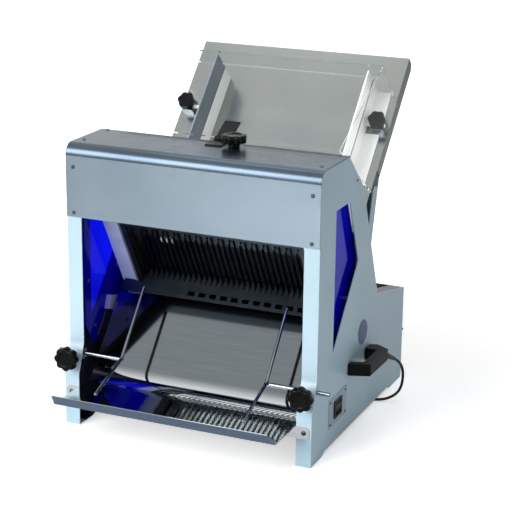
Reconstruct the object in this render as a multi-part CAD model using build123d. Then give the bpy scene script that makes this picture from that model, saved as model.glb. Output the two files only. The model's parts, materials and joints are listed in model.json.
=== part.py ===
from build123d import *
import math
import os

os.makedirs("parts", exist_ok=True)

# Driving sizes in millimetres, Y runs to the back and Z runs up
slice_pitch = 12.0
blade_count = 31
body_width = 530.0
wall_depth = 31.0
sheet = 2.0
hood_top = 572.0
hood_bottom = 427.0
hood_front = 20.5
nose_radius = 22.0
chute_slope = 46.6
chute_half = 236.0
loaf_guide_height = 94.0
right_guide_x = 187.0
left_guide_x = -147.0
left_wire_x = -148.0
right_wire_x = 163.0
wire_size = 6.5
rod_size = 8.0
front_knob_size = 50.0
side_knob_size = 38.0
tray_level = 83.0
tray_lip_y = -100.0
stroke = 18.0
cord_size = 6.0

# Sizes that follow
half = body_width / 2.0
inner = half - wall_depth
skin = half - sheet
rod_end = half + 25.0
chute_a = math.radians(chute_slope)
chute_top = (595.0, 687.0)
down = (-math.cos(chute_a), -math.sin(chute_a))
up = (-math.sin(chute_a), math.cos(chute_a))
corner_round = 15.0
chute_corner_y = chute_top[0] + corner_round * down[0] - (29.0 - corner_round) * up[0] + corner_round
lip_front_y = tray_lip_y - 9.0
shift_y = (chute_corner_y + lip_front_y) / 2.0
blade_a = math.radians(30.0)
blade_down = (math.sin(blade_a), -math.cos(blade_a))
blade_up = (math.cos(blade_a), math.sin(blade_a))
blade_mid = (225.0, 238.0)


def block(x0, x1, y0, y1, z0, z1):
    size = Box(x1 - x0, y1 - y0, z1 - z0)
    return Pos((x0 + x1) / 2.0, (y0 + y1) / 2.0, (z0 + z1) / 2.0) * size


def face_round(points, rounds):
    face = Polygon(*points, align=None)
    for spot, radius in rounds:
        corner = min(face.vertices(), key=lambda v: (v.X - spot[0]) ** 2 + (v.Y - spot[1]) ** 2)
        face = fillet(corner, radius)
    return face


def side(face, x0, x1):
    return extrude(Plane.YZ.offset(x0) * face, x1 - x0, dir=(1, 0, 0))


def plate(points, x0, x1, rounds=()):
    return side(face_round(points, rounds), x0, x1)


def on_chute(s, h):
    return (chute_top[0] + s * down[0] + h * up[0], chute_top[1] + s * down[1] + h * up[1])


def on_blade(t, n):
    y = blade_mid[0] + t * blade_down[0] + n * blade_up[0]
    z = blade_mid[1] + t * blade_down[1] + n * blade_up[1]
    return (y, z)


def chute_block(x0, x1, s0, s1, h0, h1):
    corners = [on_chute(s0, h0), on_chute(s1, h0), on_chute(s1, h1), on_chute(s0, h1)]
    return plate(corners, x0, x1)


def blade_block(x0, x1, t0, t1, n0, n1):
    corners = [on_blade(t0, n0), on_blade(t1, n0), on_blade(t1, n1), on_blade(t0, n1)]
    return plate(corners, x0, x1)


def rod(start, end, radius):
    way = Vector(*end) - Vector(*start)
    return extrude(Plane(origin=start, z_dir=way) * Circle(radius), way.length)


def turned(origin, axis, first, last, radius):
    way = Vector(*axis).normalized()
    base = Vector(*origin) + way * first
    return extrude(Plane(origin=base, z_dir=way) * Circle(radius), last - first)


def lobed_knob(origin, axis, first, last, diameter, lobes):
    outer = diameter / 2.0
    notch = outer * 0.30
    face = Circle(outer)
    for i in range(lobes):
        angle = 2.0 * math.pi * (i + 0.5) / lobes
        reach = outer + notch * 0.55
        face -= Pos(reach * math.cos(angle), reach * math.sin(angle)) * Circle(notch)
    way = Vector(*axis).normalized()
    base = Vector(*origin) + way * first
    body = extrude(Plane(origin=base, z_dir=way) * face, last - first)
    return body


def head(origin, axis, radius, height):
    body = turned(origin, axis, 0.0, height, radius)
    way = Vector(*axis).normalized()
    base = Vector(*origin) + way * (height - 0.8)
    slot = extrude(Plane(origin=base, z_dir=way) * Rectangle(radius * 1.5, radius * 0.35), 2.0)
    return body - slot


def joined(items):
    total = items[0]
    for item in items[1:]:
        total = total + item
    return total


def group(items):
    solids = []
    for item in items:
        solids.extend(item.solids())
    return Compound(children=solids)


def save(shape, name):
    export_step(Pos(0, -shift_y, 0) * shape, "parts/" + name + ".step")
    print(name, len(shape.solids()))


# Side panels as folded sheet trays with the window cut through
outline = [
    (0, 0), (54, 0), (74, 6.5), (447, 6.5), (457, 0), (531, 0), (531, 205),
    (357, 242.5), (253, 490.5), (167, hood_top - sheet), (hood_front + sheet, hood_top - sheet),
    (hood_front + sheet, 168), (0, 108),
]
nose_inner = nose_radius - sheet
outline_rounds = [((hood_front + sheet, hood_top - sheet), nose_inner)]
outline_rounds += [((hood_front + sheet, 168), 24.0), ((0, 108), 24.0)]
panel_face = face_round(outline, outline_rounds)
pocket_face = offset(panel_face, amount=-sheet, kind=Kind.INTERSECTION)
window_points = [(104, 480), (178, 480), (234, 348), (104, 196)]
window_face = Polygon(*window_points, align=None)
front_rod = (25.0, 145.0)
cap_spot = (272.0, 187.0)
switch_box = (110.0, 162.0, 56.0, 94.0)
inlet_box = (291.0, 311.0, 124.0, 144.0)


def side_panel(sign):
    low = min(sign * inner, sign * half)
    high = max(sign * inner, sign * half)
    body = side(panel_face, low, high)
    low = min(sign * inner, sign * skin) - (1.0 if sign > 0 else 0.0)
    high = max(sign * inner, sign * skin) + (1.0 if sign < 0 else 0.0)
    body -= side(pocket_face, low, high)
    body -= side(window_face, sign * half - 5.0, sign * half + 5.0)
    rod_hole = rod((sign * (skin - 5), front_rod[0], front_rod[1]), (sign * (half + 5), front_rod[0], front_rod[1]), 4.3)
    body -= rod_hole
    stud_hole = rod((sign * 250.0, -10, front_rod[1]), (sign * 250.0, front_rod[0], front_rod[1]), 4.5)
    body -= stud_hole
    if sign > 0:
        y0, y1, z0, z1 = switch_box
        body -= block(skin - 1, half + 1, y0, y1, z0, z1)
        body -= rod((skin - 1, cap_spot[0], cap_spot[1]), (half + 1, cap_spot[0], cap_spot[1]), 20.0)
        y0, y1, z0, z1 = inlet_box
        body -= block(skin - 1, half + 1, y0, y1, z0, z1)
    return body


right_panel = side_panel(1)
left_panel = side_panel(-1)
save(right_panel, "right_side_panel")
save(left_panel, "left_side_panel")

# Tinted window panes on spacers behind the panels
pane_face = Polygon((60, 512), (178, 512), (252, 352), (252, 146), (92, 146), (60, 190), align=None)
pane_in = half - 15.0
pane_out = half - 12.0
screw_spots = [(73, 390), (75, 280), (193, 280), (239, 182), (100, 178), (214, 158)]
save(group([side(pane_face, pane_in, pane_out), side(pane_face, -pane_out, -pane_in)]), "window_panes")
fixings = []
for sign in (1, -1):
    for y, z in screw_spots:
        fixings.append(rod((sign * pane_out, y, z), (sign * skin, y, z), 5.0))
        fixings.append(head((sign * pane_in, y, z), (-sign, 0, 0), 4.0, 2.5))
save(group(fixings), "window_screws")

# Hood front, top cover and their screws
front = block(-half, half, hood_front, hood_front + sheet, hood_bottom, hood_top - nose_radius)
front += block(-inner, inner, hood_front + sheet, 40, hood_bottom, hood_bottom + sheet)
cover_low = hood_top - nose_radius
outer_face = face_round(
    [(hood_front, cover_low), (hood_front, hood_top), (167, hood_top), (167, cover_low)],
    [((hood_front, hood_top), nose_radius)])
inner_face = face_round(
    [(hood_front + sheet, cover_low - 5), (hood_front + sheet, hood_top - sheet), (165, hood_top - sheet),
     (165, cover_low - 5)],
    [((hood_front + sheet, hood_top - sheet), nose_inner)])
cover = side(outer_face, -half, half) - side(inner_face, -half - 1, half + 1)
cover -= block(inner, half + 1, 150, 170, cover_low - 5, hood_top - sheet)
cover -= block(-half - 1, -inner, 150, 170, cover_low - 5, hood_top - sheet)
lock_spot = (40.0, 136.0)
cover -= turned((lock_spot[0], lock_spot[1], hood_top - 5), (0, 0, 1), 0, 10, 3.1)
save(front, "front_panel")
save(cover, "top_cover")
cover_fixings = []
for sign in (1, -1):
    for z in (hood_bottom + 9, hood_bottom + 100):
        cover_fixings.append(head((sign * (half - 16), hood_front, z), (0, -1, 0), 4.0, 2.2))
    for y in (65, 160):
        cover_fixings.append(head((sign * (half - 17), y, hood_top), (0, 0, 1), 4.0, 2.2))

# Base plate, dark rear box cover and back cover
base = block(-inner, inner, 145, 529, 6.5, 8.5)
save(base, "base_plate")
box_face = Polygon((357, 242.5), (531, 205), (531, 8.5), (529, 8.5), (529, 203), (359, 239.9), (359, 226), (357, 226), align=None)
rear_box = side(box_face, -inner, inner)
for sign in (1, -1):
    rear_box -= rod((sign * 200, 470, 190), (sign * 200, 470, 240), 3.0)
save(rear_box, "rear_box_cover")
back_low = (372.0, 242.5 - 15.0 * 37.5 / 174.0)
back_way = Vector(428 - back_low[0], 451 - back_low[1]).normalized()
back_in = Vector(-back_way.Y, back_way.X)


def on_back(k, w):
    return (back_low[0] + back_way.X * k + back_in.X * w, back_low[1] + back_way.Y * k + back_in.Y * w)


top_reach = 303.0
back_sheet = plate([on_back(0, 0), on_back(top_reach, 0), on_back(top_reach, 2), on_back(0.5, 2)], -inner, inner)
cheek = [on_back(0, 0), on_back(216, 0), on_back(216, 29), on_back(-3, 29), (357.5, 242.6)]
back_cover = joined([back_sheet, plate(cheek, inner - sheet, inner), plate(cheek, -inner, sheet - inner)])
back_cover -= chute_block(-half, half, 0, 450, -sheet, 60)
save(back_cover, "back_cover")

# Bread chute, infeed plate and the comb below the blades
splice = 420.0
rail_face = 24.0
infeed_end = 542.0
comb_start = 560.0
comb_end = 618.6
flange_end = 273.0
blade_span = slice_pitch * (blade_count - 1)
zone_half = blade_span / 2.0 + 5.0
chute = chute_block(-chute_half, chute_half, 0, splice, -sheet, 0)
chute += chute_block(-chute_half, chute_half, 0, sheet, -15, -sheet)
flange_points = [on_chute(0, 0), on_chute(flange_end, 0), on_chute(flange_end, -29), on_chute(0, -29)]
for sign in (1, -1):
    low = min(sign * inner, sign * chute_half)
    high = max(sign * inner, sign * chute_half)
    chute += plate(flange_points, low, high, [(on_chute(0, -29), corner_round)])
save(chute, "feed_chute")
infeed = chute_block(-inner, inner, splice, infeed_end, -sheet, 0)
infeed += chute_block(-zone_half, zone_half, infeed_end - 1, comb_start - 4, -sheet, 0)
infeed += chute_block(-200, 200, splice - 20, splice + 8, -2 * sheet, -sheet)
save(infeed, "infeed_plate")
comb = chute_block(-zone_half, zone_half, comb_start, comb_end - 23, -sheet, 0)
comb += chute_block(-228, 228, comb_end - 24, comb_end, -sheet, 0)
comb += blade_block(202, 226, -36, -12, -rail_face - sheet, -rail_face)
comb += blade_block(-226, -202, -36, -12, -rail_face - sheet, -rail_face)
blade_x = []
for i in range(blade_count):
    blade_x.append(-blade_span / 2.0 + i * slice_pitch)
for x in blade_x:
    comb -= chute_block(x - 1.5, x + 1.5, comb_start - 3, comb_start + 21, -5, 5)
for i in range(11):
    x = (2 * i - 6) * slice_pitch
    comb -= chute_block(x - 7.5, x + 7.5, comb_end - 18, comb_end - 8, -4, 4)
save(comb, "comb_plate")

# Slide rails for the two blade frames
rail_in = zone_half + 15.0
rail_out = inner - sheet
rails = []
for sign in (1, -1):
    low = min(sign * rail_in, sign * rail_out)
    high = max(sign * rail_in, sign * rail_out)
    rail = blade_block(low, high, -345, 21, -rail_face, rail_face)
    low = min(sign * (rail_in - 1), sign * (rail_in + 7))
    high = max(sign * (rail_in - 1), sign * (rail_in + 7))
    rail -= blade_block(low, high, -346, 22, -17.3, -10.7)
    rail -= blade_block(low, high, -346, 22, 10.7, 17.3)
    rails.append(rail)
save(group(rails), "slide_rails")
lower_bar = blade_block(-inner, inner, 2, 18, rail_face, rail_face + 20)
for sign in (1, -1):
    low = min(sign * (inner - 8), sign * skin)
    high = max(sign * (inner - 8), sign * skin)
    lower_bar += block(low, high, 258, 282, 232, 262)
upper_bar = blade_block(-skin, skin, -344, -326, rail_face, rail_face + 20)
save(group([lower_bar, upper_bar]), "cross_bars")

# Two blade frames that move against each other, with their clips and blades
side_in = rail_in - 13.0
side_out = rail_in - 2.0
blade_top = -178.0
blade_low = 58.0


def blade_frame(sign):
    n0 = min(sign * 8, sign * 20)
    n1 = max(sign * 8, sign * 20)
    body = blade_block(-side_out, side_out, -212, -190, n0, n1)
    body += blade_block(-side_out, side_out, 70, 90, n0, n1)
    m0 = min(sign * 11, sign * 17)
    m1 = max(sign * 11, sign * 17)
    for hand in (1, -1):
        low = min(hand * side_in, hand * side_out)
        high = max(hand * side_in, hand * side_out)
        body += blade_block(low, high, -212, 90, n0, n1)
        low = min(hand * side_out, hand * (rail_in + 6))
        high = max(hand * side_out, hand * (rail_in + 6))
        body += blade_block(low, high, -212, 90, m0, m1)
    return body


def blade_clips(sign, places):
    n0 = min(sign * -7, sign * 20)
    n1 = max(sign * -7, sign * 20)
    clips = []
    for x in places:
        for head_t, tip_t, stop_t in ((-190, blade_top, -156), (70, blade_low, 36)):
            clip = blade_block(x - 3, x + 3, min(head_t, tip_t), max(head_t, tip_t), n0, n1)
            legs = blade_block(x - 3, x + 3, min(tip_t, stop_t), max(tip_t, stop_t), -7, 7)
            legs -= blade_block(x - 0.4, x + 0.4, min(tip_t, stop_t) - 1, max(tip_t, stop_t) + 1, -8, 8)
            clips.append(joined([clip, legs]) - blade_block(x - 0.4, x + 0.4, blade_top, blade_low, -6, 6))
    return group(clips)


front_places = blade_x[0::2]
rear_places = blade_x[1::2]
save(blade_frame(-1), "front_blade_frame")
save(blade_frame(1), "rear_blade_frame")
save(blade_clips(-1, front_places), "front_blade_clips")
save(blade_clips(1, rear_places), "rear_blade_clips")
for name, places in (("front_blades", front_places), ("rear_blades", rear_places)):
    blades = []
    for x in places:
        blades.append(blade_block(x - 0.4, x + 0.4, blade_top, blade_low, -6, 6))
    save(group(blades), name)

# Crank drive below the blades
crank_t = 188.0
crank_y, crank_z = on_blade(crank_t, 0)
disc_in = 140.0
disc_out = 150.0
shaft_r = 8.0


def along_x(y, z, x0, x1, radius):
    return rod((x0, y, z), (x1, y, z), radius)


def connecting_rod(hand, sign):
    near = hand * (disc_out + 0.3)
    far = hand * (disc_out + 6.3)
    low = min(near, far)
    high = max(near, far)
    n0 = min(sign * 12, sign * 20)
    n1 = max(sign * 12, sign * 20)
    body = blade_block(low, high, 90, crank_t, n0, n1)
    pin_y, pin_z = on_blade(crank_t, sign * stroke)
    body += along_x(pin_y, pin_z, low, high, 9.5)
    body += along_x(pin_y, pin_z, far, far + hand * 4.0, 4.0)
    return body


save(connecting_rod(-1, -1), "front_connecting_rod")
save(connecting_rod(1, 1), "rear_connecting_rod")
save(along_x(crank_y, crank_z, -disc_in, disc_in, shaft_r), "crank_shaft")
discs = []
for sign in (1, -1):
    discs.append(along_x(crank_y, crank_z, sign * disc_in, sign * disc_out, stroke + 12))
save(group(discs), "crank_discs")
bearings = []
for sign in (1, -1):
    post = block(sign * 100 - 10, sign * 100 + 10, crank_y - 20, crank_y + 20, 8.5, crank_z + 22)
    bearings.append(post - along_x(crank_y, crank_z, sign * 100 - 11, sign * 100 + 11, shaft_r + 0.05))
save(group(bearings), "shaft_bearings")
pulley_x0 = 50.0
pulley_x1 = 70.0
motor_spot = (440.0, 95.0)
driven_r = 41.0
driver_r = 18.0


def pulley(y, z, groove):
    body = along_x(y, z, pulley_x0, pulley_x1, groove + 4)
    ring = along_x(y, z, pulley_x0 + 5, pulley_x1 - 5, groove + 5)
    return body - (ring - along_x(y, z, pulley_x0 + 5, pulley_x1 - 5, groove))


driven = pulley(crank_y, crank_z, driven_r) - along_x(crank_y, crank_z, pulley_x0 - 1, pulley_x1 + 1, shaft_r)
save(driven, "driven_pulley")
driver = pulley(motor_spot[0], motor_spot[1], driver_r)
driver += along_x(motor_spot[0], motor_spot[1], 44.3, pulley_x0 + 1, 6.0)
save(driver, "motor_pulley")


def belt_body(extra, x0, x1):
    first = Vector(crank_y, crank_z)
    second = Vector(motor_spot[0], motor_spot[1])
    r1 = driven_r + extra
    r2 = driver_r + extra
    gap = (second - first).length
    heading = math.atan2(second.Y - first.Y, second.X - first.X)
    lean = math.acos((r1 - r2) / gap)
    quad = []
    for spot, radius, turn in ((first, r1, lean), (second, r2, lean), (second, r2, -lean), (first, r1, -lean)):
        angle = heading + turn
        quad.append((spot.X + radius * math.cos(angle), spot.Y + radius * math.sin(angle)))
    body = plate(quad, x0, x1)
    body += along_x(first.X, first.Y, x0, x1, r1)
    body += along_x(second.X, second.Y, x0, x1, r2)
    return body


belt = belt_body(3.8, pulley_x0 + 5.4, pulley_x1 - 5.4) - belt_body(0.3, pulley_x0, pulley_x1)
save(belt, "drive_belt")
motor = along_x(motor_spot[0], motor_spot[1], -80, 40, 45)
motor += along_x(motor_spot[0], motor_spot[1], 40, 44, 18)
motor += block(-50, 10, motor_spot[0] - 28, motor_spot[0] + 28, motor_spot[1] + 35, motor_spot[1] + 62)
save(motor, "motor")
mount = block(-70, 30, motor_spot[0] - 38, motor_spot[0] + 38, 8.5, motor_spot[1] - 12)
mount -= along_x(motor_spot[0], motor_spot[1], -81, 45, 45)
save(mount, "motor_mount")

# Loaf guides on the chute with their rods, clamp blocks and knobs
guide_top = 90.0
guide_low = 500.0
rod_s = 174.0
rod_h = 8.0
block_in = 204.0
block_out = 228.0
foot = 31.0
rod_r = rod_size / 2.0


def loaf_guide(x_in, sign, height):
    x_out = x_in + sign * sheet
    low = min(x_in, x_out)
    high = max(x_in, x_out)
    corners = [on_chute(guide_top, 0.3), on_chute(guide_low, 0.3), on_chute(guide_low, height), on_chute(guide_top, height)]
    body = plate(corners, low, high, [(on_chute(guide_low, height), 20.0)])
    body += chute_block(high - 0.5, high + 1.0, guide_top, guide_low - 24, height - 49, height)
    foot_low = min(x_out - sign * 0.5, x_out + sign * foot)
    foot_high = max(x_out - sign * 0.5, x_out + sign * foot)
    body += chute_block(foot_low, foot_high, guide_top, rod_s - 19, 0.3, 2.3)
    body += chute_block(foot_low, foot_high, rod_s + 19, guide_low, 0.3, 2.3)
    y, z = on_chute(rod_s, rod_h)
    body += along_x(y, z, x_in + sign, sign * (block_out + 0.5), rod_r)
    return body


save(loaf_guide(right_guide_x, 1, loaf_guide_height - 13), "right_loaf_guide")
save(loaf_guide(left_guide_x, -1, loaf_guide_height), "left_loaf_guide")
normal = (0, up[0], up[1])
clamp_blocks = []
for sign in (1, -1):
    low = min(sign * block_in, sign * block_out)
    high = max(sign * block_in, sign * block_out)
    clamp = chute_block(low, high, rod_s - 14, rod_s + 14, 0, 16)
    y, z = on_chute(rod_s, rod_h)
    clamp -= along_x(y, z, low - 1, high + 1, rod_r + 0.05)
    y, z = on_chute(rod_s, 0)
    clamp -= turned((sign * 216, y, z), normal, rod_h, 17, 3.05)
    clamp_blocks.append(clamp)
    knob = lobed_knob((sign * 216, y, z), normal, 24, 38, side_knob_size, 6)
    knob += turned((sign * 216, y, z), normal, 16.3, 25, 9.0)
    knob += turned((sign * 216, y, z), normal, rod_h + rod_r + 0.3, 17, 3.0)
    save(knob, ("right" if sign > 0 else "left") + "_chute_knob")

# Clear guard over the chute, hinged on the hood
hinge_axis = (172.0, 577.0)
roof_end = (415.0, 703.0)
roof_way = Vector(roof_end[0] - hinge_axis[0], roof_end[1] - hinge_axis[1]).normalized()
roof_len = 273.7


def on_guard(r, n):
    return (hinge_axis[0] + roof_way.X * r - roof_way.Y * n, hinge_axis[1] + roof_way.Y * r + roof_way.X * n)


guard_in = chute_half + sheet
guard_out = guard_in + 3.0
corner = on_guard(roof_len, -2)
lip = Vector(470.0 - corner[0], 645.0 - corner[1]).normalized()
lip_end = (corner[0] + lip.X * 42.0, corner[1] + lip.Y * 42.0)
lip_in = (lip_end[0] + lip.Y * 3.0, lip_end[1] - lip.X * 3.0)
guard = plate([on_guard(7, -5), on_guard(7, -2), corner, lip_end, lip_in, on_guard(roof_len - 1.5, -5)], -guard_out, guard_out)
cheek_points = [on_guard(7, -5), on_guard(7, -2), corner, (470, 645), (511, 598), (372, 447)]
cheek_rounds = [((511, 598), 10.0), ((372, 447), 10.0)]
guard += plate(cheek_points, guard_in, guard_out, cheek_rounds)
guard += plate(cheek_points, -guard_out, -guard_in, cheek_rounds)
save(guard, "clear_guard")
leaf = block(-17, 16, 125, 167, hood_top, hood_top + 3)
arm = plate([(160, hood_top), (167, hood_top), (170, hood_top + 2), (170, hinge_axis[1]), (166, hinge_axis[1])], -17, -6.2)
arm += plate([(160, hood_top), (167, hood_top), (170, hood_top + 2), (170, hinge_axis[1]), (166, hinge_axis[1])], 5.2, 16)
leaf = joined([leaf, arm, along_x(hinge_axis[0], hinge_axis[1], -17, -6.2, 4), along_x(hinge_axis[0], hinge_axis[1], 5.2, 16, 4)])
leaf -= along_x(hinge_axis[0], hinge_axis[1], -18, 17, 2.05)
save(leaf, "guard_hinge_fixed_leaf")
save(along_x(hinge_axis[0], hinge_axis[1], -18, 17, 2.0), "guard_hinge_pin")
moving = plate([on_guard(5.5, -2), on_guard(54, -2), on_guard(54, 1), on_guard(5.5, 1)], -17, 16)
moving += plate([on_guard(1, -2), on_guard(8, -2), on_guard(8, 1), on_guard(1, 3)], -5.8, 4.8)
moving += along_x(hinge_axis[0], hinge_axis[1], -5.8, 4.8, 4)
moving -= along_x(hinge_axis[0], hinge_axis[1], -18, 17, 2.05)
save(moving, "guard_hinge_moving_leaf")
lock_base = (lock_spot[0], lock_spot[1], hood_top)
lock = lobed_knob(lock_base, (0, 0, 1), 9, 25, front_knob_size, 8)
lock += turned(lock_base, (0, 0, 1), 0.3, 10, 11)
lock += turned(lock_base, (0, 0, 1), -12, 1, 3.05 - 0.05)
save(lock, "guard_lock_knob")

# Outlet tray of polished sheet with its lip and tabs
tray_half = inner - 0.5
slope_foot = 47.0
tray_profile = [
    (172, 232), (slope_foot, tray_level), (tray_lip_y + 3, tray_level), (tray_lip_y - 7, tray_level + 19),
    (tray_lip_y - 9, tray_level + 18), (tray_lip_y + 1.5, tray_level - sheet), (slope_foot + 1, tray_level - sheet),
    (173.6, 230.8),
]
tray_rounds = [((slope_foot, tray_level), 60.0), ((slope_foot + 1, tray_level - sheet), 62.0)]
tray = plate(tray_profile, -tray_half, tray_half, tray_rounds)
trim = Plane.XZ.offset(120) * Polygon((tray_half - 18, 104), (tray_half + 2, 104), (tray_half + 2, 93), align=None)
tray -= extrude(trim, 30, dir=(0, 1, 0))
for sign in (1, -1):
    tab = Polygon((sign * 213, 58), (sign * 261, 58), (sign * 261, tray_level), (sign * 213, tray_level), align=None)
    ends = tab.vertices().sort_by(Axis.X)
    tab = fillet(ends[-2:] if sign > 0 else ends[:2], 9.0)
    tray += extrude(Plane.XZ * tab, sheet, dir=(0, -1, 0))
save(tray, "outlet_tray")
for sign in (1, -1):
    cover_fixings.append(head((sign * 250, -sheet, 70), (0, -1, 0), 5.0, 2.5))

# Outlet wire guides on cross rods, clamp blocks and front knobs
rod_y, rod_z = front_rod
wire_r = wire_size / 2.0


def wire_guide(x, sign):
    line = FilletPolyline((x, 117, 267), (x, 19, 148), (x, -87, 112), radius=30)
    body = sweep(Plane(origin=line @ 0, z_dir=line % 0) * Circle(wire_r), path=line)
    body += Pos(x, 117, 267) * Sphere(wire_r)
    body += Pos(x, -87, 112) * Sphere(wire_r)
    body += along_x(rod_y, rod_z, x, sign * rod_end, rod_r)
    return body


save(wire_guide(right_wire_x, 1), "right_outlet_guide")
save(wire_guide(left_wire_x, -1), "left_outlet_guide")
for sign in (1, -1):
    low = min(sign * (inner + 2), sign * skin)
    high = max(sign * (inner + 2), sign * skin)
    holder = block(low, high, 19.3, 37, 133, 153)
    holder -= along_x(rod_y, rod_z, low - 1, high + 1, rod_r + 0.05)
    holder -= turned((sign * 250, 0, rod_z), (0, 1, 0), 10, rod_y, 3.55)
    clamp_blocks.append(holder)
    knob = lobed_knob((sign * 250, 0, rod_z), (0, -1, 0), 12, 28, front_knob_size, 8)
    knob += turned((sign * 250, 0, rod_z), (0, -1, 0), -4, 13, 10)
    knob += turned((sign * 250, 0, rod_z), (0, -1, 0), -(rod_y - rod_r - 0.3), -3, 3.5)
    save(knob, ("right" if sign > 0 else "left") + "_front_knob")
save(group(clamp_blocks), "clamp_blocks")

# Switch plate, rocker, access cap and the small interlock box
sw_y0, sw_y1, sw_z0, sw_z1 = (116.0, 156.0, 57.0, 93.0)
sw_plate = block(half, half + 1.5, 88, 184, 45.5, 104.5) - block(half - 1, half + 3, sw_y0, sw_y1, sw_z0, sw_z1)
save(sw_plate, "switch_plate")
bezel = block(half - 15, half + 3.5, sw_y0, sw_y1, sw_z0, sw_z1)
bezel -= block(half - 16, half + 4, sw_y0 + 5, sw_y1 - 5, sw_z0 + 5, sw_z1 - 5)
save(bezel, "switch_bezel")
rocker_x = half - 7.0
rocker_z = (sw_z0 + sw_z1) / 2.0
rocker_face = Circle(12.6) - Pos(12.6 + 18.0, 0) * Circle(20.5)
rocker_plane = Plane(origin=(rocker_x, sw_y0 + 5.4, rocker_z), x_dir=(1, 0, 0), z_dir=(0, 1, 0))
save(extrude(rocker_plane * rocker_face, sw_y1 - sw_y0 - 10.8), "rocker_switch")
for y in (95, 177):
    for z in (52, 98):
        cover_fixings.append(head((half + 1.5, y, z), (1, 0, 0), 2.6, 1.6))
cover_fixings.append(head((half, 214, 514), (1, 0, 0), 3.2, 1.8))
save(group(cover_fixings), "cover_screws")
cap = rod((half, cap_spot[0], cap_spot[1]), (half + 1.5, cap_spot[0], cap_spot[1]), 25.0)
cap += rod((half - 8, cap_spot[0], cap_spot[1]), (half + 1, cap_spot[0], cap_spot[1]), 20.0)
save(cap, "access_cap")
lock_box = plate([(136, 203), (146, 230), (200, 213.5), (184, 187)], -pane_in, -pane_in + 12)
lock_box += plate([(143, 201), (178, 190), (144, 142), (104, 155)], -pane_in, -pane_in + 3)
save(lock_box, "interlock_box")

# Crumb drawer on guides on the base plate
drawer = block(-150, 150, 140, 268, 12, 42) - block(-148.5, 148.5, 141.5, 266.5, 13.5, 43)
drawer += block(-60, 60, 134, 141, 34, 37)
drawer += block(-60, 60, 134, 136, 30, 37)
save(drawer, "crumb_drawer")
drawer_guides = []
for sign in (1, -1):
    low = min(sign * 150.3, sign * 158)
    high = max(sign * 150.3, sign * 158)
    lowest = min(sign * 130, sign * 158)
    highest = max(sign * 130, sign * 158)
    drawer_guides.append(block(low, high, 146, 268, 8.5, 30) + block(lowest, highest, 146, 268, 8.5, 11.7))
save(group(drawer_guides), "drawer_guides")

# Power inlet, angled plug, strain relief and cord
inlet = block(half - 30, half, inlet_box[0], inlet_box[1], inlet_box[2], inlet_box[3])
save(inlet, "power_inlet")
plug_face = Polygon(
    (half, 188), (308, 204), (310, 305), (282, 322), (half, 316), (half, 287), (289, 287), (289, 213), (half, 206),
    align=None)
plug = extrude(Plane.XY.offset(121) * plug_face, 26, dir=(0, 0, 1))
save(plug, "power_plug")
relief_way = Vector(3.0, 52.0, -26.0)
relief_from = Vector(304.0, 304.0, 133.5)
relief_mid = relief_from + relief_way * 0.94
relief = loft([
    Plane(origin=relief_from, z_dir=relief_way) * Circle(6.2),
    Plane(origin=relief_mid, z_dir=relief_way) * Circle(4.0),
])
cord_route = [
    (306.4, 345.6, 112.7), (309, 388, 92), (311, 411, 55), (308, 400, 18), (282, 377, 3.3), (240, 369, 3.1),
    (205, 392, 3.1), (186, 432, 3.1), (190, 486, 3.1), (178, 540, 3.1), (140, 584, 3.1), (104, 604, 3.1),
]
cord_r = cord_size / 2.0


def soft_line(points):
    line = []
    count = len(points)
    spots = [Vector(*p) for p in points]
    radii = []
    for i in range(1, count - 1):
        first = spots[i] - spots[i - 1]
        second = spots[i + 1] - spots[i]
        turn = math.radians(first.get_angle(second))
        shorter = min(first.length, second.length)
        radii.append(0.45 * shorter / math.tan(turn / 2.0))
    place = spots[0]
    for i in range(1, count - 1):
        first = (spots[i] - spots[i - 1]).normalized()
        second = (spots[i + 1] - spots[i]).normalized()
        turn = math.acos(first.dot(second))
        cut = radii[i - 1] * math.tan(turn / 2.0)
        start = spots[i] - first * cut
        end = spots[i] + second * cut
        line.append(Line(place, start))
        line.append(TangentArc(start, end, tangent=first))
        place = end
    line.append(Line(place, spots[-1]))
    print("smallest bend radii", sorted(round(r) for r in radii)[:5])
    return Wire(line)


cord_line = soft_line(cord_route)
cord = sweep(Plane(origin=cord_line @ 0, z_dir=cord_line % 0) * Circle(cord_r), path=cord_line)
save(relief - cord - plug, "strain_relief")
save(cord, "power_cord")

# The rest of the cord, wound into a round coil behind the machine, with its tie and plug
coil_r = 33.0
coil_turns = 5.25
per_turn = 4
lift = cord_size + 1.0
last = Vector(*cord_route[-1])
before = Vector(*cord_route[-2])
heading = Vector(last.X - before.X, last.Y - before.Y).normalized()
coil_mid = Vector(last.X + coil_r * heading.Y, last.Y - coil_r * heading.X)
start_angle = math.atan2(last.Y - coil_mid.Y, last.X - coil_mid.X)
slope = lift / (2.0 * math.pi * coil_r)


def coil_point(turns):
    angle = start_angle - 2.0 * math.pi * turns
    return Vector(coil_mid.X + coil_r * math.cos(angle), coil_mid.Y + coil_r * math.sin(angle), last.Z + lift * turns)


def coil_heading(turns):
    angle = start_angle - 2.0 * math.pi * turns
    return Vector(math.sin(angle), -math.cos(angle), slope).normalized()


def two_arcs(start, start_way, end, end_way):
    chord = end - start
    both = start_way + end_way
    square = both.dot(both) - 4.0
    linear = -2.0 * chord.dot(both)
    root = math.sqrt(linear * linear - 4.0 * square * chord.dot(chord))
    reach = (-linear - root) / (2.0 * square)
    if reach < 0:
        reach = (-linear + root) / (2.0 * square)
    near = start + start_way * reach
    far = end - end_way * reach
    middle = (near + far) * 0.5
    return [TangentArc(start, middle, tangent=start_way), TangentArc(middle, end, tangent=(far - near).normalized())]


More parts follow.
